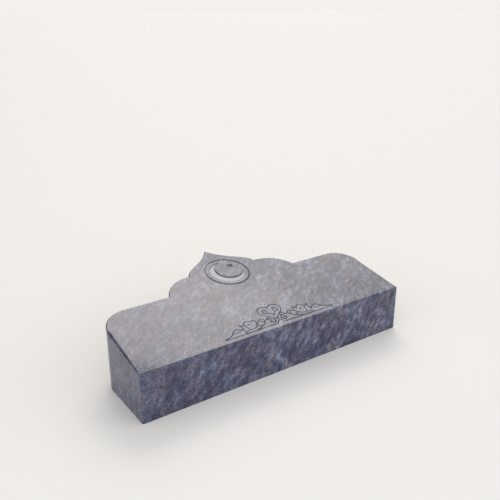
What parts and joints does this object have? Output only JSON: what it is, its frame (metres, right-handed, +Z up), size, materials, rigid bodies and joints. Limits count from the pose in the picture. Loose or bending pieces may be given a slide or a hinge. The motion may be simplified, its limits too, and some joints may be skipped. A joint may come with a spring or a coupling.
{
  "type": "bevel grave marker",
  "caption": "Low granite grave marker with a sloping top, a pointed crest with a ringed crescent and star, and carved scrolls along the front edge.",
  "frame": {"origin": "centre of the bounding box, on the ground under the underside", "axes": "+X to the right along the front face, +Y from the front face towards the crest, +Z up"},
  "size_m": [0.61, 0.2972, 0.1531],
  "materials": {
    "granite": "polished"
  },
  "bodies": {
    "root": {"marker_stone": "granite"}
  },
  "joints": []
}
